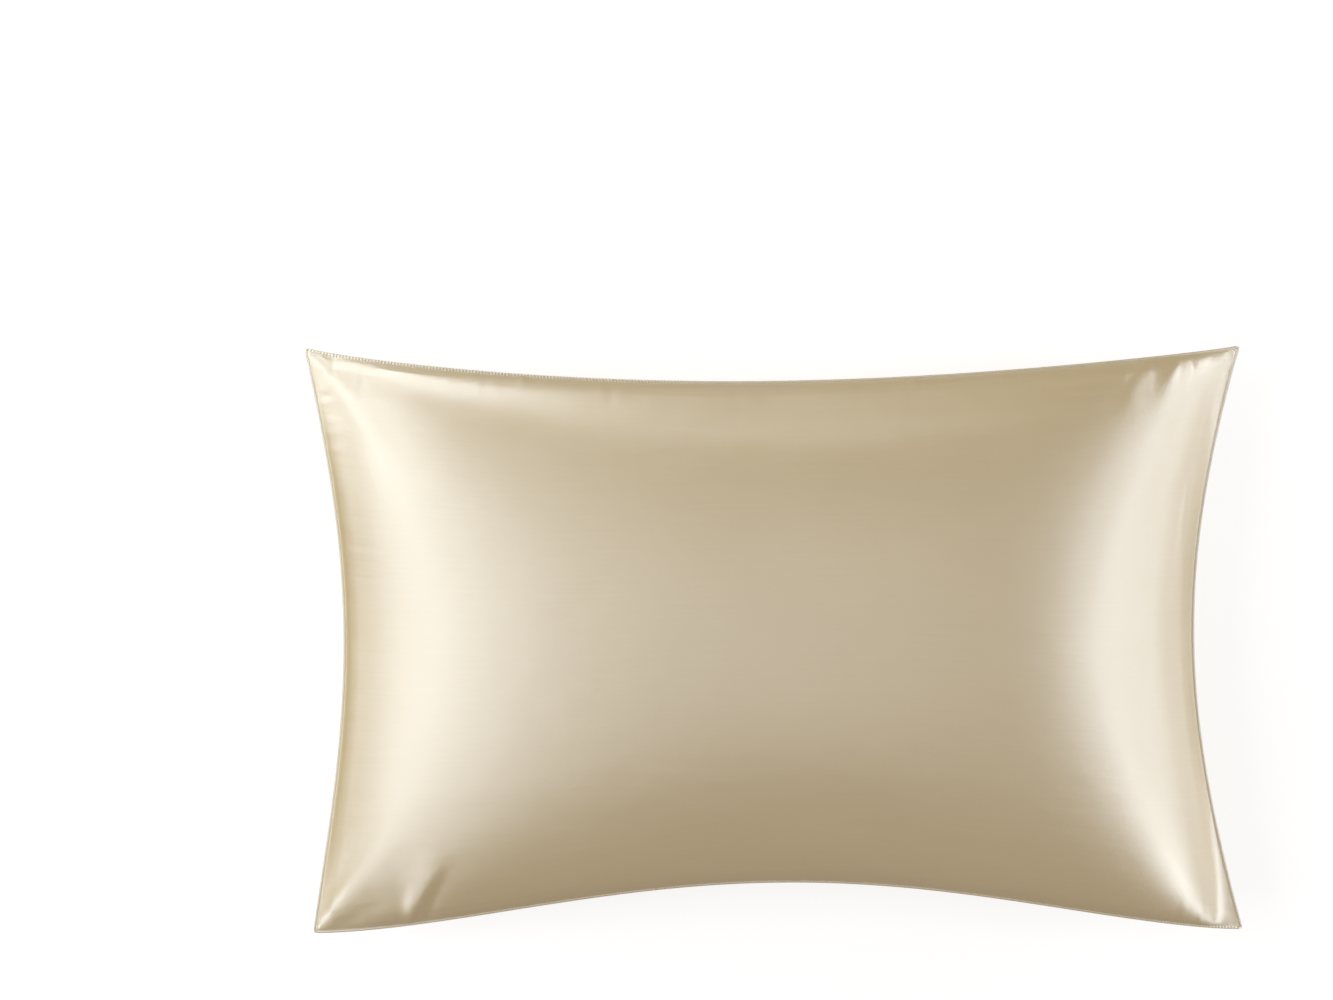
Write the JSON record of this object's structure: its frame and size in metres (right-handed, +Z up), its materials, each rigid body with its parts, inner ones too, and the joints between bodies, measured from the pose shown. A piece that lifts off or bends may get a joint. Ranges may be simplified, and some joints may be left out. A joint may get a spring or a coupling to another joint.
{
  "type": "filled satin cushion cover",
  "caption": "Oblong satin pillowcase-style cushion cover, filled: crowned face, drawn-in sides, pointed corners and a plain turned seam.",
  "frame": {"origin": "middle of the base, on the surface that the cushion lies on", "axes": "+X along the long sides, +Y towards the head edge, +Z up, out of the face"},
  "size_m": [0.7936, 0.497, 0.1625],
  "materials": {
    "satin": "champagne satin weave, soft pearly sheen"
  },
  "bodies": {
    "root": {"cushion_cover": "satin"}
  },
  "joints": []
}
